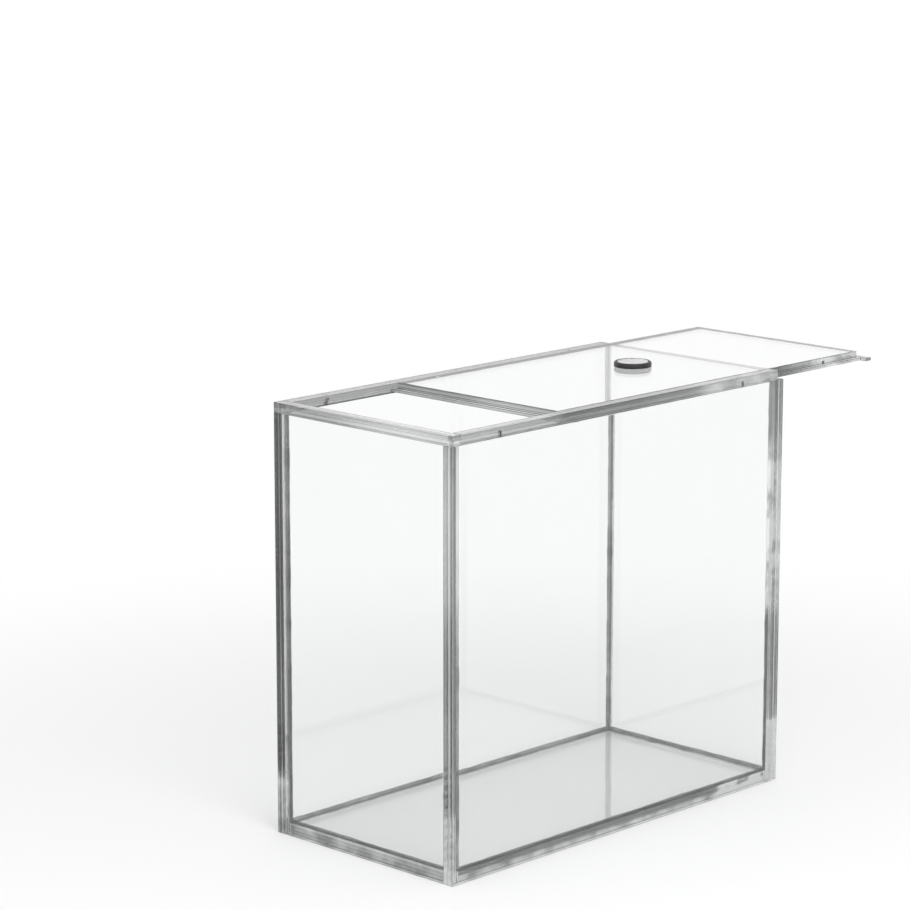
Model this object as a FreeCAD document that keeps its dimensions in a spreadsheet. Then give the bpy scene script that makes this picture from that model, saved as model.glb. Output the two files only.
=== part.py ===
import FreeCAD, Part
import os

# Acrylic display case: a box of glued clear sheet whose lid slides out to the right in slotted rails.
# +X runs from the closed end to the end where the lid comes out, +Y from the front wall to the back wall.
# The origin is the centre of the underside. The lid stands part open, as it rests in use.

doc = FreeCAD.newDocument("display_case")

# Driving dimensions, in millimetres
driving_sizes = {
    "case_width": 200.0,
    "case_depth": 100.0,
    "case_height": 180.0,
    "wall_thickness": 4.8,
    "base_thickness": 4.8,
    "rail_height": 4.2,
    "rail_land": 2.8,
    "rail_setback": 3.8,
    "tongue_thickness": 1.3,
    "lid_clearance": 0.2,
    "lid_opening": 60.0,
    "magnet_diameter": 1.6,
    "magnet_length": 2.6,
    "magnet_from_end": 27.0,
    "magnet_cover": 0.6,
    "magnet_clearance": 0.05,
    "badge_diameter": 16.0,
    "badge_height": 2.2,
    "badge_rim": 1.4,
    "badge_bevel": 0.5,
    "face_thickness": 0.9,
    "face_clearance": 0.1,
    "groove_width": 1.0,
    "groove_pitch": 2.2,
    "groove_depth": 0.4,
    "cut_overrun": 1.0,
}
sheet = doc.addObject("Spreadsheet::Sheet", "Sizes")
for row, (alias, value) in enumerate(driving_sizes.items(), start=1):
    sheet.set(f"A{row}", alias)
    sheet.set(f"B{row}", str(value))
    sheet.setAlias(f"B{row}", alias)
doc.recompute()


# Expressions: each name below is a length worked out from the sheet
def size(alias):
    return f"Sizes.{alias}"


def total(*terms):
    return "(" + " + ".join(terms) + ")"


def less(first, *others):
    return "(" + " - ".join((first,) + others) + ")"


def half(length):
    return f"({length} / 2)"


def double(length):
    return f"(2 * {length})"


def negative(length):
    return f"(-1 * {length})"


zero = "0"
wall = size("wall_thickness")
overrun = size("cut_overrun")
clearance = size("lid_clearance")

left_face = negative(half(size("case_width")))
right_face = half(size("case_width"))
front_face = negative(half(size("case_depth")))
back_face = half(size("case_depth"))
wall_top = less(size("case_height"), size("rail_height"))
inner_width = less(size("case_width"), double(wall))
inner_depth = less(size("case_depth"), double(wall))

slot_reach = less(wall, size("rail_land"))
slot_height = total(size("tongue_thickness"), double(clearance))
slot_depth_span = total(inner_depth, double(slot_reach))
rail_end = less(right_face, size("rail_setback"))

lid_bottom = total(wall_top, clearance)
lid_thickness = less(size("rail_height"), clearance)
lid_body_start = total(left_face, wall, clearance, size("lid_opening"))
lid_body_end = total(rail_end, size("lid_opening"))
lid_body_depth = less(inner_depth, double(clearance))
tongue_start = total(left_face, size("rail_land"), clearance, size("lid_opening"))
tongue_depth = less(slot_depth_span, double(clearance))
lip_start = total(lid_body_end, clearance)
lip_end = total(right_face, size("lid_opening"))

magnet_hole = total(size("magnet_diameter"), double(size("magnet_clearance")))
magnet_hole_length = total(size("magnet_length"), size("magnet_clearance"))
magnet_reach_x = less(right_face, size("magnet_from_end"))
rail_magnet_y = less(back_face, half(size("rail_land")))
lid_magnet_y = less(half(lid_body_depth), size("magnet_cover"), half(magnet_hole))

badge_x = half(total(lid_body_start, lid_body_end))
badge_top = total(size("case_height"), size("badge_height"))
pocket_diameter = less(size("badge_diameter"), double(size("badge_rim")))
face_diameter = less(pocket_diameter, double(size("face_clearance")))
face_bottom = less(badge_top, size("face_thickness"))

subparts = []


def bind(item, **expressions):
    for name, expression in expressions.items():
        item.setExpression(name, expression)
    return item


def place(item, x, y, z):
    item.setExpression("Placement.Base.x", x)
    item.setExpression("Placement.Base.y", y)
    item.setExpression("Placement.Base.z", z)
    return item


def block(name, start, lengths):
    item = doc.addObject("Part::Box", name)
    bind(item, Length=lengths[0], Width=lengths[1], Height=lengths[2])
    return place(item, *start)


def rod(name, diameter, length, foot):
    item = doc.addObject("Part::Cylinder", name)
    bind(item, Radius=half(diameter), Height=length)
    return place(item, *foot)


def joined(name, pieces):
    item = doc.addObject("Part::MultiFuse", name)
    item.Shapes = pieces
    item.Refine = True
    return item


def cut_from(name, stock, tools):
    cutter = tools[0] if len(tools) == 1 else joined(name + "_cutter", tools)
    item = doc.addObject("Part::Cut", name)
    item.Base = stock
    item.Tool = cutter
    return item


def subpart(item, label):
    item.Label = label
    subparts.append(item)
    return item


# Walls and floor: the long walls run the full width, the end walls and the floor fit between them
def long_wall(label, outer_y):
    wall_sizes = (size("case_width"), wall, wall_top)
    return subpart(block(label + "_sheet", (left_face, outer_y, zero), wall_sizes), label)


def end_wall(label, outer_x):
    wall_sizes = (wall, inner_depth, wall_top)
    foot = (outer_x, total(front_face, wall), zero)
    return subpart(block(label + "_sheet", foot, wall_sizes), label)


subpart(
    block(
        "base_sheet",
        (total(left_face, wall), total(front_face, wall), zero),
        (inner_width, inner_depth, size("base_thickness")),
    ),
    "base_panel",
)
long_wall("front_wall", front_face)
long_wall("back_wall", less(back_face, wall))
end_wall("left_end_wall", left_face)
end_wall("right_end_wall", less(right_face, wall))


# Rails: strips glued on the wall tops, rabbeted on the lower inner edge to leave a slot for the lid
def magnet_places(y):
    return {"left": (negative(magnet_reach_x), y), "right": (magnet_reach_x, y)}


def long_rail(side, outer_y, slot_y, magnet_y):
    label = side + "_rail"
    rail_start = total(left_face, wall)
    rail_length = less(rail_end, rail_start)
    stock = block(label + "_strip", (rail_start, outer_y, wall_top), (rail_length, wall, size("rail_height")))
    slot = block(
        label + "_rabbet",
        (less(rail_start, overrun), slot_y, less(wall_top, overrun)),
        (total(rail_length, double(overrun)), total(slot_reach, overrun), total(slot_height, overrun)),
    )
    tools = [slot]
    for end, (x, y) in magnet_places(magnet_y).items():
        hole_foot = (x, y, less(wall_top, overrun))
        hole_length = total(magnet_hole_length, overrun)
        tools.append(rod(f"{label}_{end}_hole", magnet_hole, hole_length, hole_foot))
        magnet = rod(
            f"{label}_{end}_slug", size("magnet_diameter"), size("magnet_length"), (x, y, wall_top)
        )
        subpart(magnet, f"{label}_magnet_{end}")
    subpart(cut_from(label + "_milled", stock, tools), label)


long_rail("front", front_face, total(front_face, size("rail_land")), negative(rail_magnet_y))
long_rail("back", less(back_face, wall), less(back_face, wall, overrun), rail_magnet_y)

end_strip = block(
    "end_rail_strip", (left_face, front_face, wall_top), (wall, size("case_depth"), size("rail_height"))
)
end_rabbet = block(
    "end_rail_rabbet",
    (total(left_face, size("rail_land")), negative(half(slot_depth_span)), less(wall_top, overrun)),
    (total(slot_reach, overrun), slot_depth_span, total(slot_height, overrun)),
)
subpart(cut_from("end_rail_milled", end_strip, [end_rabbet]), "end_rail")


# Lid: one sheet with a thin tongue that runs in the slots and a thin lip over the right end wall
lid_body = block(
    "lid_body",
    (lid_body_start, negative(half(lid_body_depth)), lid_bottom),
    (less(lid_body_end, lid_body_start), lid_body_depth, lid_thickness),
)
lid_tongue = block(
    "lid_tongue",
    (tongue_start, negative(half(tongue_depth)), lid_bottom),
    (less(lip_end, tongue_start), tongue_depth, size("tongue_thickness")),
)
lid_lip = block(
    "lid_lip",
    (lip_start, front_face, lid_bottom),
    (less(lip_end, lip_start), size("case_depth"), size("tongue_thickness")),
)
lid_stock = joined("lid_stock", [lid_body, lid_tongue, lid_lip])
lid_holes = []
for side, y in (("front", negative(lid_magnet_y)), ("back", lid_magnet_y)):
    for end, (closed_x, magnet_y) in magnet_places(y).items():
        x = total(closed_x, size("lid_opening"))
        name = f"{side}_lid_{end}"
        hole_foot = (x, magnet_y, less(lid_bottom, overrun))
        hole_length = total(magnet_hole_length, overrun)
        lid_holes.append(rod(name + "_hole", magnet_hole, hole_length, hole_foot))
        magnet = rod(
            name + "_slug", size("magnet_diameter"), size("magnet_length"), (x, magnet_y, lid_bottom)
        )
        subpart(magnet, f"{side}_lid_magnet_{end}")
subpart(cut_from("lid_milled", lid_stock, lid_holes), "lid_panel")

# Badge: a round black puck bonded on the lid, with a white grooved inlay in its pocket
puck_side = less(size("badge_height"), size("badge_bevel"))
puck = rod("badge_puck", size("badge_diameter"), puck_side, (badge_x, zero, size("case_height")))
puck_bevel = doc.addObject("Part::Cone", "badge_bevel_ring")
bind(
    puck_bevel,
    Radius1=half(size("badge_diameter")),
    Radius2=less(half(size("badge_diameter")), size("badge_bevel")),
    Height=size("badge_bevel"),
)
place(puck_bevel, badge_x, zero, total(size("case_height"), puck_side))
puck_stock = joined("badge_stock", [puck, puck_bevel])
pocket = rod(
    "badge_pocket",
    pocket_diameter,
    total(size("face_thickness"), overrun),
    (badge_x, zero, face_bottom),
)
subpart(cut_from("badge_milled", puck_stock, [pocket]), "badge_base")

face_disc = rod("face_disc", face_diameter, size("face_thickness"), (badge_x, zero, face_bottom))
groove_shares = (-2, -1, 0, 1, 2)
face_grooves = [
    block(
        f"face_groove_{number}",
        (
            total(badge_x, f"{share} * {size('groove_pitch')}", negative(half(size("groove_width")))),
            negative(half(size("badge_diameter"))),
            less(badge_top, size("groove_depth")),
        ),
        (size("groove_width"), size("badge_diameter"), total(size("groove_depth"), overrun)),
    )
    for number, share in enumerate(groove_shares, start=1)
]
subpart(cut_from("face_milled", face_disc, face_grooves), "badge_face")

doc.recompute()
for item in doc.Objects:
    if "Invalid" in item.State or "Error" in item.State:
        raise RuntimeError(f"{item.Name} failed: {item.State}")
for item in subparts:
    if item.Shape.isNull() or not item.Shape.isValid():
        raise RuntimeError(f"{item.Label} has no valid shape")

os.makedirs("parts", exist_ok=True)
for item in subparts:
    item.Shape.exportStep(os.path.join("parts", item.Label + ".step"))
    print(item.Label, len(item.Shape.Solids), round(item.Shape.Volume, 3))
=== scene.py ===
import math

import bmesh
import bpy
from mathutils import Matrix, Vector


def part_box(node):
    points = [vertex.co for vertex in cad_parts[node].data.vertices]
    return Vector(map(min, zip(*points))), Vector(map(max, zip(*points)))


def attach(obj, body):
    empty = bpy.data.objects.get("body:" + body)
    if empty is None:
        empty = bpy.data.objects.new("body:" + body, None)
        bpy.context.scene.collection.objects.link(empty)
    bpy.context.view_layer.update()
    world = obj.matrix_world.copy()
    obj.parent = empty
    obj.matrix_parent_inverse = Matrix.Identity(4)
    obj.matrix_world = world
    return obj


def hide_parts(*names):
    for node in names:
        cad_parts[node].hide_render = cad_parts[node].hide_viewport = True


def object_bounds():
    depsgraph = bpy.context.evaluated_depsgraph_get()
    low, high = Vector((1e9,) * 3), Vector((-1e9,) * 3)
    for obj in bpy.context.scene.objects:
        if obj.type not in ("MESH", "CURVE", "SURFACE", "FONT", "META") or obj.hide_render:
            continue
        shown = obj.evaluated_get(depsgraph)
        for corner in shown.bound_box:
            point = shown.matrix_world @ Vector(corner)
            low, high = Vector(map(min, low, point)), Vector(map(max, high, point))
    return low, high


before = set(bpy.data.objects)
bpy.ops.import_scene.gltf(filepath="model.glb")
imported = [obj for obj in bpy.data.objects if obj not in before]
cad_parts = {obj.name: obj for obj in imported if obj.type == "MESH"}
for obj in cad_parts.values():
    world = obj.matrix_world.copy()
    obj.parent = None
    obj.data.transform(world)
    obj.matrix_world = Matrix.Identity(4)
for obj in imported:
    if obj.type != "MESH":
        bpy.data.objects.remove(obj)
cad_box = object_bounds()


# Base sheet: the floor of the box, a rectangle of clear cast acrylic.
# It is sawn to size, its arrises are scraped, and its four edges are cemented between the walls.
mm = 0.001
x_axis, y_axis, z_axis = range(3)
eased_edge = 0.2 * mm
skin_depth = eased_edge / 4
cement_gap = 0.05 * mm
sharp_turn = math.radians(30)
square_on = 0.99
base_low, base_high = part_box("base_panel")


class Wire:
    """A socket in a shader. Sums and comparisons on it add Math nodes, and node() adds any other node."""

    def __init__(self, tree, socket=None):
        self.tree = tree
        self.socket = socket

    def node(self, kind, settings, sockets, output=0):
        made = self.tree.nodes.new(kind)
        for name, value in settings.items():
            if name == "stops":
                self.set_stops(made.color_ramp, value)
            else:
                setattr(made, name, value)
        for name, value in sockets.items():
            if isinstance(value, Wire):
                self.tree.links.new(value.socket, made.inputs[name])
            else:
                made.inputs[name].default_value = value
        return Wire(self.tree, made.outputs[output] if made.outputs else None)

    def set_stops(self, ramp, stops):
        while len(ramp.elements) < len(stops):
            ramp.elements.new(1.0)
        for element, (place, colour) in zip(ramp.elements, stops):
            element.position = place
            element.color = (*colour, 1.0)

    def sum_of(self, operation, first, second=0.0):
        return self.node("ShaderNodeMath", {"operation": operation}, {0: first, 1: second})

    def __add__(self, other):
        return self.sum_of("ADD", self, other)

    def __radd__(self, other):
        return self.sum_of("ADD", other, self)

    def __sub__(self, other):
        return self.sum_of("SUBTRACT", self, other)

    def __rsub__(self, other):
        return self.sum_of("SUBTRACT", other, self)

    def __mul__(self, other):
        return self.sum_of("MULTIPLY", self, other)

    def __rmul__(self, other):
        return self.sum_of("MULTIPLY", other, self)

    def __gt__(self, other):
        return self.sum_of("GREATER_THAN", self, other)

    def __lt__(self, other):
        return self.sum_of("LESS_THAN", self, other)

    def __abs__(self):
        return self.sum_of("ABSOLUTE", self)


def larger(first, second):
    return first.sum_of("MAXIMUM", first, second)


def along_axes(place, axes="XYZ"):
    """How far east, north and up a point lies."""
    return [place.node("ShaderNodeSeparateXYZ", {}, {"Vector": place}, axis) for axis in axes]


def noise(place, scale, detail):
    return place.node("ShaderNodeTexNoise", {}, {"Vector": place, "Scale": scale, "Detail": detail})


def swing(pattern):
    """How far a noise lies above or below its middle."""
    return pattern - 0.5


def rise(value, start, end, course="SMOOTHSTEP"):
    """Zero before the start and one past the end, which may be the lower of the two."""
    sockets = {"Value": value, "From Min": start, "From Max": end}
    return value.node("ShaderNodeMapRange", {"interpolation_type": course}, sockets)


def mixed(share, first, second):
    """A colour between two others."""
    sockets = {0: share, 6: (*first, 1.0), 7: (*second, 1.0)}
    return share.node("ShaderNodeMix", {"data_type": "RGBA"}, sockets, 2)


def relief(height, strength, depth):
    return height.node("ShaderNodeBump", {}, {"Strength": strength, "Distance": depth, "Height": height})


def blank_material(name):
    material = bpy.data.materials.new(name)
    material.use_nodes = True
    material.node_tree.nodes.clear()
    return material, Wire(material.node_tree)


acrylic_ior = 1.49
clear_tint = (0.995, 0.998, 0.998)
hazy_tint = (0.980, 0.985, 0.985)
pane_tint = (0.985, 0.987, 0.988)
swell_scale = 9.0
swell_strength = 0.04
swell_depth = 1.0 * mm
haze_scale = 28.0
haze_roughness = 0.02


def polished_face(place, tint_scale):
    """The skin of cast sheet: clear, with a faint swell and a little haze from handling.

    Light that goes to a lamp or comes from a matt surface passes it as a thin pane.
    """
    swell = noise(place, swell_scale, detail=1.0)
    haze = noise(place, haze_scale, detail=6.0)
    clear, hazy = ([tint_scale * part for part in tint] for tint in (clear_tint, hazy_tint))
    sheet = place.node(
        "ShaderNodeBsdfPrincipled",
        {},
        {
            "Base Color": mixed(haze, clear, hazy),
            "Roughness": haze_roughness * haze,
            "IOR": acrylic_ior,
            "Transmission Weight": 1.0,
            "Normal": relief(swell, swell_strength, swell_depth),
        },
    )
    to_lamp, scattered = (
        place.node("ShaderNodeLightPath", {}, {}, ray) for ray in ("Is Shadow Ray", "Is Diffuse Ray")
    )
    pane = place.node("ShaderNodeBsdfTransparent", {}, {"Color": (*pane_tint, 1.0)})
    return place.node("ShaderNodeMixShader", {}, {0: larger(to_lamp, scattered), 1: sheet, 2: pane})


def inner_faces(place):
    """One on the faces that look into the box, zero outside them."""
    east, north, height = along_axes(place)
    within_ends = abs(east) < base_high.x + eased_edge
    within_sides = abs(north) < base_high.y + eased_edge
    above_base = height > base_high.z - eased_edge
    return within_ends * within_sides * above_base


wall_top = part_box("front_wall")[1].z
wall_shade = 0.40
# Painted light: a lighter, mottled patch on the sawn edges at the right front end, at the foot and half way
# up the posts.
light_patch_start = 45 * mm
light_patch_end = 120 * mm
wall_light_patch = (light_patch_start, light_patch_end, 1.0)
light_patch_fade = 25 * mm
light_patch_wander = 60 * mm
past_light_patch_loss = 0.6
front_span = (-36 * mm, -44 * mm)
far_span = (-20 * mm, 30 * mm)
foot_span = (34 * mm, 24 * mm)
foot_wander = 20 * mm
low_span = (125 * mm, 85 * mm)
low_wander = 50 * mm
half_way_start = (60 * mm, 95 * mm)
half_way_end = (155 * mm, 130 * mm)
half_way_wander = 40 * mm
upright_light = 0.15
half_way_light = 0.5
foot_light = 0.55
light_lift = 0.85
light_mottle_weight = 2.0
front_light_mottle_weight = 1.2
line_pitch = 900.0
line_stretch = 0.5
line_weight = 3.2
low_line_weight = 2.0
wander_scale = 18.0
wander_weight = 0.7
mottle_scale = 110.0
light_washout = 0.6
foot_light_washout = 0.8
# Painted shade: the far side of the case and the lower posts are darker.
far_painted_shade = 0.14
low_painted_shade = 0.28
sawn_tones = [
    (0.0, (0.012, 0.013, 0.013)),
    (0.3, (0.085, 0.088, 0.087)),
    (0.6, (0.240, 0.246, 0.243)),
    (1.0, (0.880, 0.890, 0.885)),
]
saw_mark_strength = 0.3
saw_mark_depth = 0.05 * mm
sawn_roughness = 0.12
line_roughness = 0.25
sawn_clearness = 0.2


def sawn_face(place, thin_axis, shade, contrast, light_patch, accent):
    """A saw-cut edge: dark and light lines along the cut, with painted light that makes it lighter and
    mottled at the foot and the front end, and painted shade on the far side and low on the posts.
    """
    pitch = [line_stretch] * 3
    pitch[thin_axis] = line_pitch
    along_cut = place.node("ShaderNodeMapping", {}, {"Vector": place, "Scale": pitch})
    lines = noise(along_cut, 1.0, detail=3.0)
    mottle = swing(noise(place, mottle_scale, detail=4.0))
    wander = swing(noise(place, wander_scale, detail=1.0))
    east, north, height = along_axes(place)

    # Painted light: the foot, the rims and the posts half way up are lighter and mottled at the front end,
    # and the saw lines fade there.
    foot = rise(height + foot_wander * wander, *foot_span) * (1.0 - inner_faces(place))
    rim = height > wall_top
    start, end, strength = light_patch
    lit_front_end = rise(east + light_patch_wander * wander, start, start + light_patch_fade) * rise(north, *front_span)
    lit_front_end = lit_front_end * (1.0 - past_light_patch_loss * (east > end))
    level = height + half_way_wander * wander
    half_way = rise(level, *half_way_start) * rise(level, *half_way_end)
    upright = upright_light + half_way_light * half_way
    # smooth is the lit patch of painted light, not a smoother cut.
    smooth = lit_front_end * larger(larger(foot, rim), upright)
    front_light = strength * smooth
    painted_light = larger(front_light, foot_light * foot)
    mottled_light = painted_light * (light_lift + (light_mottle_weight + front_light_mottle_weight * front_light) * mottle)

    # Painted shade: darker low down on the posts, where the saw lines also run deeper.
    low_down = rise(height + low_wander * wander, *low_span) * (1.0 - foot)
    depth_of_lines = line_weight + low_line_weight * low_down
    streaks = contrast * (depth_of_lines * swing(lines) + wander_weight * wander)
    if accent:
        streaks = streaks + accent(place)
    cut_lines = streaks * (1.0 - light_washout * larger(smooth, foot_light_washout * foot))
    # Painted shade on the far side.
    far_side = rise(north, *far_span)
    tone = shade - far_painted_shade * far_side - low_painted_shade * low_down + cut_lines + mottled_light
    return place.node(
        "ShaderNodeBsdfPrincipled",
        {},
        {
            "Base Color": place.node("ShaderNodeValToRGB", {"stops": sawn_tones}, {"Fac": tone}),
            "Roughness": sawn_roughness + line_roughness * lines,
            "IOR": acrylic_ior,
            "Transmission Weight": sawn_clearness,
            "Normal": relief(lines, saw_mark_strength, saw_mark_depth),
        },
    )


bloom_reach = 1.7 * mm
bloom_full_beside = 1.36 * mm
bloom_full_above = 1.19 * mm
bloom_wander = 0.8 * mm
bloom_scale = 120.0
bloom_least = 0.55
bloom_spread = 0.5


def cement_bloom(place):
    """How cloudy the inner faces are along the corners, where cement was drawn out of the joints."""
    ragged = noise(place, bloom_scale, detail=3.0)
    wander = bloom_wander * swing(ragged)
    east, north, height = along_axes(place)
    by_end, by_side = (
        rise(abs(across) + wander, face - bloom_reach, face - bloom_full_beside, "LINEAR")
        for across, face in ((east, base_high.x), (north, base_high.y))
    )
    low_down = rise(
        height + wander, base_high.z + bloom_reach, base_high.z + bloom_full_above, "LINEAR"
    )
    upright = by_end * by_side
    bottom = low_down * larger(by_end, by_side)
    return larger(upright, bottom) * (bloom_least + bloom_spread * ragged) * inner_faces(place)


body_grey = (0.42, 0.45, 0.445)
body_density = 5.5


def cast_acrylic(
    name, thin_axis, shade, contrast=1.0, light_patch=wall_light_patch, tint_scale=1.0, accent=None, marks=None
):
    """Clear cast acrylic: its grey shows along the sheet, and its cut share is kept face by face."""
    material, wire = blank_material(name)
    place = wire.node("ShaderNodeTexCoord", {}, {}, "Object")
    cut = wire.node("ShaderNodeAttribute", {"attribute_name": "cut_share"}, {}, "Fac")
    if marks:
        cut = larger(cut, marks(place))
    polished = polished_face(place, tint_scale)
    sawn = sawn_face(place, thin_axis, shade, contrast, light_patch, accent)
    surface = wire.node("ShaderNodeMixShader", {}, {0: cut, 1: polished, 2: sawn})
    tint = {"Color": (*body_grey, 1.0), "Density": body_density}
    body = wire.node("ShaderNodeVolumeAbsorption", {}, tint)
    wire.node("ShaderNodeOutputMaterial", {}, {"Surface": surface, "Volume": body})
    return material


def block(low, high):
    bm = bmesh.new()
    bmesh.ops.create_cube(bm, size=1.0)
    bmesh.ops.scale(bm, vec=high - low, verts=bm.verts)
    bmesh.ops.translate(bm, vec=(low + high) / 2, verts=bm.verts)
    return bm


def ease_arrises(bm, width=eased_edge):
    arrises = [edge for edge in bm.edges if edge.calc_face_angle(0.0) > sharp_turn]
    bmesh.ops.bevel(
        bm, geom=arrises, offset=width, affect="EDGES", segments=2, profile=0.5, material=-1
    )


def piece_from(bm, name, material, body, node):
    mesh = bpy.data.meshes.new(name)
    bm.to_mesh(mesh)
    bm.free()
    mesh.materials.append(material)
    piece = bpy.data.objects.new(name, mesh)
    bpy.context.scene.collection.objects.link(piece)
    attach(piece, body)
    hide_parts(node)


def acrylic_piece(bm, name, thin_axis, material, cut_shares, body, node):
    """The sheet's two skins and its scraped arrises are polished.

    Each other face has the cut share of the axis that it looks along.
    """
    bmesh.ops.recalc_face_normals(bm, faces=bm.faces)
    cut_share = bm.faces.layers.float.new("cut_share")
    levels = [vert.co[thin_axis] for vert in bm.verts]
    for face in bm.faces:
        level = face.calc_center_median()[thin_axis]
        depth = min(level - min(levels), max(levels) - level)
        on_skin = abs(face.normal[thin_axis]) > square_on and depth < skin_depth
        for axis, share in cut_shares.items():
            if abs(face.normal[axis]) > square_on and not on_skin:
                face[cut_share] = share
    piece_from(bm, name, material, body, node)


core_start = base_low.z + 1.9 * mm
core_full = base_low.z + 2.6 * mm
core_wander = 1.6 * mm
core_wave_scale = 9.0
core_margin = 1.0 * mm
reflection_band_tone = -1.2


def dark_reflection_band(place):
    """Painted reflection: a dark band along the upper half of the base's long edges, for the dark
    surroundings seen in them.
    """
    east, height = along_axes(place, "XZ")
    on_long_edge = abs(east) < base_high.x - core_margin
    on_edge = height < base_high.z - eased_edge
    level = height + core_wander * swing(noise(place, core_wave_scale, detail=2.0))
    upper = rise(level, core_start, core_full, "LINEAR")
    return reflection_band_tone * upper * on_long_edge * on_edge


base_contrast = 0.6
# Painted shade: the base's clear skin is tinted darker, for the shaded floor seen through it.
base_painted_shade = 0.80
base_acrylic = cast_acrylic(
    "base_acrylic",
    z_axis,
    wall_shade,
    base_contrast,
    tint_scale=base_painted_shade,
    accent=dark_reflection_band,
    marks=cement_bloom,
)
base_cuts = {x_axis: 0.75, y_axis: 0.75}
joint = Vector((cement_gap, cement_gap, 0.0))
base = block(base_low + joint, base_high - joint)
ease_arrises(base)
acrylic_piece(base, "base_sheet", z_axis, base_acrylic, base_cuts, "case", "base_panel")


# Long walls: two sheets that run the full width and take the base and the end walls between them.
# Their upright ends are left as sawn and show as the grey posts at the corners.
front_end_light = 0.25
back_end_shade = 0.35
end_cut_shares = {"front": 0.45, "back": 0.7}
edge_cut_share = 0.75


def front_lit_back_shaded(place):
    """Painted light on the front wall's ends and painted shade on the back wall's."""
    north = along_axes(place, "Y")[0]
    return front_end_light - back_end_shade * (north > 0.0)


long_wall_acrylic = cast_acrylic(
    "long_wall_acrylic", y_axis, wall_shade, accent=front_lit_back_shaded, marks=cement_bloom
)
top_joint = Vector((0.0, 0.0, cement_gap))
for side in ("front", "back"):
    node = side + "_wall"
    wall_low, wall_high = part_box(node)
    wall = block(wall_low, wall_high - top_joint)
    ease_arrises(wall)
    long_wall_cuts = {x_axis: end_cut_shares[side], z_axis: edge_cut_share}
    acrylic_piece(wall, node + "_sheet", y_axis, long_wall_acrylic, long_wall_cuts, "case", node)


# End walls: two shorter sheets cemented on their upright edges between the long walls.
# The left one carries the end rail, and the lid passes over the right one.
end_wall_acrylic = cast_acrylic("end_wall_acrylic", x_axis, wall_shade, marks=cement_bloom)
end_wall_cuts = {y_axis: 0.55, z_axis: edge_cut_share}
side_joint = Vector((0.0, cement_gap, 0.0))
for side in ("left", "right"):
    node = side + "_end_wall"
    wall_low, wall_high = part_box(node)
    wall = block(wall_low + side_joint, wall_high - side_joint - top_joint)
    ease_arrises(wall)
    acrylic_piece(wall, node + "_sheet", x_axis, end_wall_acrylic, end_wall_cuts, "case", node)


# Rails: strips cemented on the wall tops, milled on the lower inner edge to leave a slot for the lid.
# The long rails have two blind holes each in the foot, where the magnets sit.
rail_land = 2.8 * mm
tongue_thickness = 1.3 * mm
lid_play = 0.2 * mm
slot_height = tongue_thickness + 2 * lid_play
magnet_play = 0.05 * mm
hole_sides = 24
flat_turn = math.radians(1)


def draw_out(bm, faces, move):
    grown = bmesh.ops.extrude_face_region(bm, geom=faces)
    bmesh.ops.delete(bm, geom=faces, context="FACES")
    ends = [part for part in grown["geom"] if isinstance(part, bmesh.types.BMVert)]
    bmesh.ops.translate(bm, vec=move, verts=ends)


def split(bm, axis, *levels):
    for level in levels:
        normal = Vector((0.0, 0.0, 0.0))
        normal[axis] = 1.0
        bmesh.ops.bisect_plane(
            bm, geom=bm.verts[:] + bm.edges[:] + bm.faces[:], plane_co=normal * level, plane_no=normal
        )


def join_flats(bm):
    """Takes out the cutting lines that no longer part two planes."""
    bmesh.ops.dissolve_limit(bm, angle_limit=flat_turn, verts=bm.verts, edges=bm.edges)


def facing(bm, axis, sense, test):
    """Faces that look along an axis, in one sense, and whose middle passes the test."""
    bm.normal_update()
    return [
        face
        for face in bm.faces
        if sense * face.normal[axis] > square_on and test(face.calc_center_median())
    ]


def drill_from_below(bm, magnets):
    """Blind holes in the underside, one round each magnet."""
    lowest = min(vert.co.z for vert in bm.verts)
    under = facing(bm, z_axis, -1, lambda middle: middle.z < lowest + skin_depth)
    outline = [edge for edge in bm.edges if len(set(edge.link_faces) & set(under)) == 1]
    bmesh.ops.delete(bm, geom=under, context="FACES")
    for magnet in magnets:
        magnet_low, magnet_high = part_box(magnet)
        middle = (magnet_low + magnet_high) / 2
        ring = bmesh.ops.create_circle(
            bm,
            segments=hole_sides,
            radius=(magnet_high.x - magnet_low.x) / 2 + magnet_play,
            matrix=Matrix.Translation((middle.x, middle.y, lowest)),
        )["verts"]
        mouth = list({edge for vert in ring for edge in vert.link_edges})
        drawn = bmesh.ops.extrude_edge_only(bm, edges=mouth)["geom"]
        blind_end = [part for part in drawn if isinstance(part, bmesh.types.BMVert)]
        bmesh.ops.translate(bm, vec=(0.0, 0.0, magnet_high.z + magnet_play - lowest), verts=blind_end)
        bmesh.ops.contextual_create(bm, geom=blind_end)
        outline += mouth
    bmesh.ops.triangle_fill(bm, use_beauty=True, edges=outline)


tick_reach = 1.0 * mm
tick_shade_tone = -1.8


def magnet_shade_ticks(place, left, right):
    """Painted shade: dark ticks on the outer side, in front of two magnets behind the thin acrylic."""
    left_low, left_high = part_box(left)
    right_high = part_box(right)[1]
    radius = (left_high.x - left_low.x) / 2
    centre = (left_low.x + right_high.x) / 2
    spread = right_high.x - radius - centre
    outermost = -left_low.y
    east, north, height = along_axes(place)
    beside = abs(abs(east - centre) - spread) < radius
    outside = (abs(north) > outermost) * (abs(north) < outermost + tick_reach)
    below = height < left_high.z
    return tick_shade_tone * beside * outside * below


def rail_shade_ticks(place):
    return magnet_shade_ticks(place, "front_rail_magnet_left", "front_rail_magnet_right")


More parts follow.
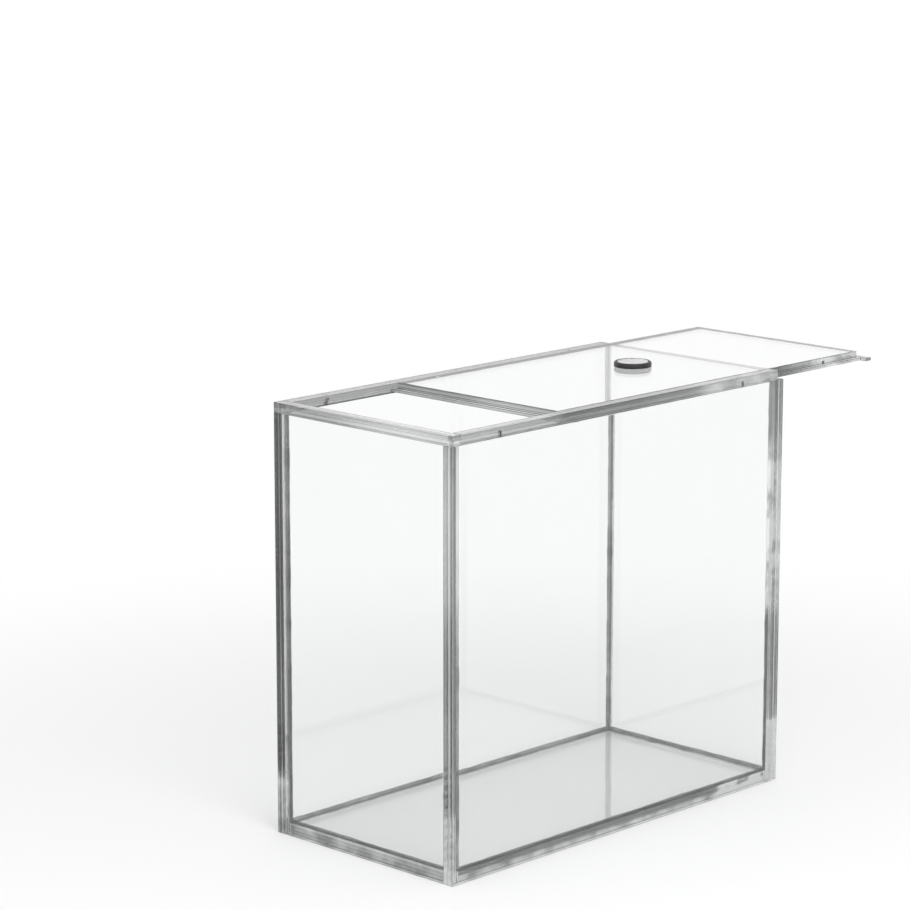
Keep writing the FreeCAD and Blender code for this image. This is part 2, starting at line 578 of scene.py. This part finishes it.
rail_shade = 0.54
end_rail_lit_shade = 0.74
rail_contrast = 0.6
rail_light_strength = 0.4
rail_light_patch = (light_patch_start, light_patch_end, rail_light_strength)
rail_cuts = {x_axis: 0.5, y_axis: 0.5, z_axis: 0.5}
strip_acrylic = cast_acrylic(
    "strip_acrylic", z_axis, rail_shade, rail_contrast, rail_light_patch, accent=rail_shade_ticks
)
for side, sense in (("front", -1), ("back", 1)):
    node = side + "_rail"
    rail_low, rail_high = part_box(node)
    slot_top = rail_low.z + slot_height
    outer = rail_low.y if sense < 0 else rail_high.y
    slot_wall = outer - sense * rail_land
    rail = block(Vector((rail_low.x + cement_gap, rail_low.y, slot_top)), rail_high)
    split(rail, y_axis, slot_wall)
    foot = facing(rail, z_axis, -1, lambda middle: sense * (middle.y - slot_wall) > 0)
    draw_out(rail, foot, (0.0, 0.0, -slot_height))
    join_flats(rail)
    ease_arrises(rail)
    drill_from_below(rail, [f"{node}_magnet_{end}" for end in ("left", "right")])
    acrylic_piece(rail, node + "_strip", z_axis, strip_acrylic, rail_cuts, "case", node)

rail_low, rail_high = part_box("end_rail")
slot_top = rail_low.z + slot_height
slot_start = rail_low.x + rail_land
slot_half = rail_high.y - rail_land
rail = block(Vector((rail_low.x, rail_low.y, slot_top)), rail_high)
split(rail, x_axis, slot_start)
split(rail, y_axis, -slot_half, slot_half)
foot = facing(rail, z_axis, -1, lambda middle: middle.x < slot_start or abs(middle.y) > slot_half)
draw_out(rail, foot, (0.0, 0.0, -slot_height))
join_flats(rail)
ease_arrises(rail)
# Painted light: the end rail takes a lighter copy of the strip acrylic, on the end that faces the soft box.
lit_end_strip_acrylic = cast_acrylic("lit_end_strip_acrylic", z_axis, end_rail_lit_shade, rail_contrast)
acrylic_piece(rail, "end_rail_strip", z_axis, lit_end_strip_acrylic, rail_cuts, "case", "end_rail")


# Rail magnets: small nickel-plated cylinders pushed into the long rails from below before cementing.
# They hold the lid's own magnets when it is shut; painted shade marks them as short ticks in the rails.
magnet_rim = 0.12 * mm
magnet_sides = 32
dull_nickel = (0.52, 0.50, 0.47)
bright_nickel = (0.68, 0.66, 0.62)
pit_scale = 3200.0
pit_strength = 0.2
pit_depth = 0.02 * mm
plate_cloud_scale = 600.0
plate_roughness = 0.18
pit_roughness = 0.2


def plated_nickel():
    """Barrel-plated nickel: bright, with fine pits and a slightly warm cast."""
    material, wire = blank_material("plated_nickel")
    place = wire.node("ShaderNodeTexCoord", {}, {}, "Object")
    pits = noise(place, pit_scale, detail=3.0)
    cloud = noise(place, plate_cloud_scale, detail=2.0)
    metal = wire.node(
        "ShaderNodeBsdfPrincipled",
        {},
        {
            "Base Color": mixed(cloud, dull_nickel, bright_nickel),
            "Metallic": 1.0,
            "Roughness": plate_roughness + pit_roughness * pits,
            "Normal": relief(pits, pit_strength, pit_depth),
        },
    )
    wire.node("ShaderNodeOutputMaterial", {}, {"Surface": metal})
    return material


nickel = plated_nickel()


def magnet_piece(node, body):
    low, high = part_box(node)
    radius = (high.x - low.x) / 2
    bm = bmesh.new()
    bmesh.ops.create_cone(
        bm,
        cap_ends=True,
        segments=magnet_sides,
        radius1=radius,
        radius2=radius,
        depth=high.z - low.z,
        matrix=Matrix.Translation((low + high) / 2),
    )
    ease_arrises(bm, magnet_rim)
    piece_from(bm, node + "_slug", nickel, body, node)


for side in ("front", "back"):
    for end in ("left", "right"):
        magnet_piece(f"{side}_rail_magnet_{end}", "case")


# Lid: one sheet of the same acrylic, milled round its edge to a thin tongue that runs in the slots.
# At the right end the tongue widens to a lip over the walls, which is what the fingers pull.
tongue_reach = 2.0 * mm
lid_setback = 3.8 * mm
lid_low, lid_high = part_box("lid_panel")
tongue_top = lid_low.z + tongue_thickness
tongue_half = lid_high.y - rail_land - lid_play
body_half = tongue_half - tongue_reach
body_start = lid_low.x + tongue_reach
body_end = lid_high.x - lid_setback
lip_start = body_end + lid_play
lid = block(
    Vector((lid_low.x, -tongue_half, lid_low.z)), Vector((lid_high.x, tongue_half, tongue_top))
)
split(lid, x_axis, lip_start)
for sense in (-1, 1):
    lip_side = facing(lid, y_axis, sense, lambda middle: middle.x > lip_start)
    draw_out(lid, lip_side, (0.0, sense * (lid_high.y - tongue_half), 0.0))
split(lid, x_axis, body_start, body_end)
split(lid, y_axis, -body_half, body_half)
body_top = facing(
    lid,
    z_axis,
    1,
    lambda middle: body_start < middle.x < body_end and abs(middle.y) < body_half,
)
draw_out(lid, body_top, (0.0, 0.0, lid_high.z - tongue_top))
join_flats(lid)
ease_arrises(lid)

wear_width = 4.8 * mm
wear_side = tongue_half - wear_width
wear_end = lid_high.x - wear_width
wear_wander = 1.0 * mm
scuff_scale = 160.0
least_scuff = 0.7
scuff_spread = 0.4


def underneath(place):
    """One on the lid's underside, zero above it."""
    height = along_axes(place, "Z")[0]
    return height < lid_low.z + eased_edge


def running_wear(place):
    """How scuffed the lid's underside is, in the border that runs on the tops of the walls."""
    scuff = noise(place, scuff_scale, detail=4.0)
    wander = wear_wander * swing(scuff)
    east, north = along_axes(place, "XY")
    on_side = abs(north) + wander > wear_side
    on_end = east + wander > wear_end
    return larger(on_side, on_end) * underneath(place) * (least_scuff + scuff_spread * scuff)


heel_end = body_start + 1.0 * mm
heel_painted_light = 0.3
underside_painted_shade = 0.45


def lid_accent(place):
    """Painted light on the lid's left end, painted shade on its worn underside, and painted shade ticks
    where its magnets sit.
    """
    heel = along_axes(place, "X")[0] < heel_end
    ticks = magnet_shade_ticks(place, "front_lid_magnet_left", "front_lid_magnet_right")
    return heel_painted_light * heel - underside_painted_shade * underneath(place) + ticks


lid_shade = 0.56
lid_contrast = 0.6
lid_light_start = 92 * mm
lid_light_patch = (lid_light_start, lip_start, rail_light_strength)
lid_cuts = {x_axis: 0.85, y_axis: 0.85, z_axis: 0.85}
lid_acrylic = cast_acrylic(
    "lid_acrylic", z_axis, lid_shade, lid_contrast, lid_light_patch, accent=lid_accent, marks=running_wear
)
lid_magnets = [f"{side}_lid_magnet_{end}" for side in ("front", "back") for end in ("left", "right")]
drill_from_below(lid, lid_magnets)
acrylic_piece(lid, "lid_sheet", z_axis, lid_acrylic, lid_cuts, "lid", "lid_panel")


# Lid magnets: four more of the same slugs, pressed into blind holes under the lid's long edges.
# Each one meets a rail magnet when the lid is pushed home.
for node in lid_magnets:
    magnet_piece(node, "lid")


# Badge base: a round moulded puck of black plastic, bonded to the middle of the lid.
# Its top has a bevelled rim round a shallow pocket for the inlay.
badge_bevel = 0.5 * mm
badge_pocket_depth = 0.9 * mm
badge_rim = 1.4 * mm
badge_steps = 96
badge_edge = 0.1 * mm
weld_reach = 0.001 * mm
deep_black = (0.008, 0.008, 0.009)
worn_black = (0.022, 0.022, 0.023)
black_grain_scale = 2600.0
black_grain_strength = 0.25
black_grain_depth = 0.04 * mm
black_wear_scale = 180.0
black_roughness = 0.30
black_wear_roughness = 0.25


def moulded_black():
    """Black moulded plastic with a fine spark-eroded grain and slightly worn gloss."""
    material, wire = blank_material("moulded_black")
    place = wire.node("ShaderNodeTexCoord", {}, {}, "Object")
    grain = noise(place, black_grain_scale, detail=2.0)
    wear = noise(place, black_wear_scale, detail=4.0)
    plastic = wire.node(
        "ShaderNodeBsdfPrincipled",
        {},
        {
            "Base Color": mixed(wear, deep_black, worn_black),
            "Roughness": black_roughness + black_wear_roughness * wear,
            "Normal": relief(grain, black_grain_strength, black_grain_depth),
        },
    )
    wire.node("ShaderNodeOutputMaterial", {}, {"Surface": plastic})
    return material


def soften(bm):
    """Smooth faces, kept crisp where they meet at a sharp turn."""
    for face in bm.faces:
        face.smooth = True
    for edge in bm.edges:
        edge.smooth = edge.calc_face_angle(0.0) < sharp_turn


puck_low, puck_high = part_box("badge_base")
puck_centre = (puck_low + puck_high) / 2
puck_radius = (puck_high.x - puck_low.x) / 2
puck_foot = puck_low.z + cement_gap
pocket_radius = puck_radius - badge_rim
pocket_floor = puck_high.z - badge_pocket_depth
profile = [
    (0.0, puck_foot),
    (puck_radius, puck_foot),
    (puck_radius, puck_high.z - badge_bevel),
    (puck_radius - badge_bevel, puck_high.z),
    (pocket_radius, puck_high.z),
    (pocket_radius, pocket_floor),
    (0.0, pocket_floor),
]
puck = bmesh.new()
corners = [puck.verts.new((puck_centre.x + radius, puck_centre.y, level)) for radius, level in profile]
outline = [puck.edges.new(pair) for pair in zip(corners, corners[1:])]
bmesh.ops.spin(
    puck,
    geom=corners + outline,
    cent=puck_centre,
    axis=(0.0, 0.0, 1.0),
    angle=math.tau,
    steps=badge_steps,
    use_merge=True,
)
bmesh.ops.remove_doubles(puck, verts=puck.verts, dist=weld_reach)
bmesh.ops.recalc_face_normals(puck, faces=puck.faces)
ease_arrises(puck, badge_edge)
soften(puck)
piece_from(puck, "badge_puck", moulded_black(), "lid", "badge_base")


# Badge inlay: a white plastic disc pressed into the puck's pocket.
# Five straight grooves cross its face, where a maker would put a mark.
groove_width = 1.0 * mm
groove_pitch = 2.2 * mm
groove_depth = 0.4 * mm
groove_steps = range(-2, 3)
inlay_edge = 0.08 * mm
inlay_low, inlay_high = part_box("badge_face")
clean_white = (0.80, 0.80, 0.79)
groove_white = (0.50, 0.50, 0.49)
white_grain_scale = 2400.0
white_grain_strength = 0.15
white_grain_depth = 0.03 * mm
groove_darkening = 0.5
grain_share = 0.2
white_roughness = 0.28
white_rough_swing = 0.2


def moulded_white():
    """White moulded plastic, a little glossier on the lands, darker and rougher in the grooves."""
    material, wire = blank_material("moulded_white")
    place = wire.node("ShaderNodeTexCoord", {}, {}, "Object")
    grain = noise(place, white_grain_scale, detail=2.0)
    in_groove = rise(along_axes(place, "Z")[0], inlay_high.z, inlay_high.z - groove_depth, "LINEAR")
    plastic = wire.node(
        "ShaderNodeBsdfPrincipled",
        {},
        {
            "Base Color": mixed(groove_darkening * in_groove + grain_share * grain, clean_white, groove_white),
            "Roughness": white_roughness + white_rough_swing * grain + white_rough_swing * in_groove,
            "Normal": relief(grain, white_grain_strength, white_grain_depth),
        },
    )
    wire.node("ShaderNodeOutputMaterial", {}, {"Surface": plastic})
    return material


inlay_centre = (inlay_low + inlay_high) / 2
inlay_radius = (inlay_high.x - inlay_low.x) / 2
inlay_foot = inlay_low.z + cement_gap
inlay_thickness = inlay_high.z - inlay_foot - groove_depth
inlay = bmesh.new()
bmesh.ops.create_cone(
    inlay,
    cap_ends=True,
    segments=badge_steps,
    radius1=inlay_radius,
    radius2=inlay_radius,
    depth=inlay_thickness,
    matrix=Matrix.Translation((inlay_centre.x, inlay_centre.y, inlay_foot + inlay_thickness / 2)),
)
groove_middles = [inlay_centre.x + step * groove_pitch for step in groove_steps]
for middle in groove_middles:
    split(inlay, x_axis, middle - groove_width / 2, middle + groove_width / 2)


def on_land(point):
    return all(abs(point.x - middle) > groove_width / 2 for middle in groove_middles)


draw_out(inlay, facing(inlay, z_axis, 1, on_land), (0.0, 0.0, groove_depth))
bmesh.ops.recalc_face_normals(inlay, faces=inlay.faces)
ease_arrises(inlay, inlay_edge)
soften(inlay)
piece_from(inlay, "badge_inlay", moulded_white(), "lid", "badge_face")


# Floor: a wide sheet of matt white board under the case, which keeps its soft shadow.
# Away from the case it fades to the white of the background.
floor_drop = 0.1 * mm
floor_half = 6.0
shadow_reach = 0.16
fade_end = 0.48
board_white = (0.93, 0.93, 0.93)
tooth_white = (0.95, 0.95, 0.95)
tooth_scale = 900.0
board_roughness = 0.8
plain_white = (1.0, 1.0, 1.0, 1.0)


def background_rays(wire):
    """One where the view, a reflection or a clear sheet shows the surroundings, zero for stray light."""
    viewed, mirrored, passed, scatters = (
        wire.node("ShaderNodeLightPath", {}, {}, ray)
        for ray in ("Is Camera Ray", "Is Glossy Ray", "Is Transmission Ray", "Diffuse Depth")
    )
    scattered = wire.node("ShaderNodeClamp", {}, {"Value": scatters})
    seen = (viewed + mirrored + passed) * (1.0 - scattered)
    return wire.node("ShaderNodeClamp", {}, {"Value": seen})


def white_board():
    """Matt white card, with a little tooth, that turns to plain background far from the case."""
    material, wire = blank_material("white_board")
    place = wire.node("ShaderNodeTexCoord", {}, {}, "Object")
    colour = mixed(noise(place, tooth_scale, detail=2.0), board_white, tooth_white)
    card = wire.node("ShaderNodeBsdfPrincipled", {}, {"Base Color": colour, "Roughness": board_roughness})
    reach = wire.node("ShaderNodeVectorMath", {"operation": "LENGTH"}, {0: place}, "Value")
    far = rise(reach, shadow_reach, fade_end)
    white = wire.node("ShaderNodeEmission", {}, {"Color": plain_white, "Strength": 1.0})
    surface = wire.node("ShaderNodeMixShader", {}, {0: far * background_rays(wire), 1: card, 2: white})
    wire.node("ShaderNodeOutputMaterial", {}, {"Surface": surface})
    return material


ground = bmesh.new()
bmesh.ops.create_grid(
    ground,
    x_segments=1,
    y_segments=1,
    size=floor_half,
    matrix=Matrix.Translation((0.0, 0.0, cad_box[0].z - floor_drop)),
)
floor_mesh = bpy.data.meshes.new("floor_board")
ground.to_mesh(floor_mesh)
ground.free()
floor_mesh.materials.append(white_board())
floor_board = bpy.data.objects.new("floor_board", floor_mesh)
bpy.context.scene.collection.objects.link(floor_board)


# Light: an even white room and one broad soft box from the upper left, both at a plain level.
# Clear edges need many bounces before the light finds its way out.
ambient_level = 0.72
scene = bpy.context.scene
scene.view_settings.view_transform = "Standard"
scene.cycles.max_bounces = 32
scene.cycles.glossy_bounces = 24
scene.cycles.transmission_bounces = 32
scene.cycles.transparent_max_bounces = 48
scene.cycles.caustics_refractive = False
scene.cycles.caustics_reflective = False

room = bpy.data.worlds.new("white_room")
room.use_nodes = True
room.node_tree.nodes.clear()
room_wire = Wire(room.node_tree)
room_level = ambient_level + (1.0 - ambient_level) * background_rays(room_wire)
glow = room_wire.node("ShaderNodeBackground", {}, {"Color": plain_white, "Strength": room_level})
room_wire.node("ShaderNodeOutputWorld", {}, {"Surface": glow})
scene.world = room

lamp = bpy.data.lights.new("soft_box", "AREA")
lamp.shape = "DISK"
lamp.size = 0.9
lamp.energy = 9.0
soft_box = bpy.data.objects.new("soft_box", lamp)
soft_box.location = (-0.45, -0.80, 1.05)
soft_box.rotation_mode = "QUATERNION"
soft_box.rotation_quaternion = (-soft_box.location).to_track_quat("-Z", "Y")
soft_box.visible_transmission = False
scene.collection.objects.link(soft_box)


# Camera: a long lens, a little above the case, that sees the left end and the front.
camera_azimuth = math.radians(-135.746)
camera_elevation = math.radians(11.741)
camera_distance = 1464.4 * mm
camera_target = Vector((0.56, 46.47, 143.79)) * mm
outward = Vector(
    (
        math.cos(camera_azimuth) * math.cos(camera_elevation),
        math.sin(camera_azimuth) * math.cos(camera_elevation),
        math.sin(camera_elevation),
    )
)
lens = bpy.data.cameras.new("camera")
lens.lens = 137.2
lens.sensor_width = 36.0
camera = bpy.data.objects.new("camera", lens)
camera.location = camera_target + outward * camera_distance
camera.rotation_mode = "QUATERNION"
camera.rotation_quaternion = (-outward).to_track_quat("-Z", "Y")
scene.collection.objects.link(camera)
scene.camera = camera
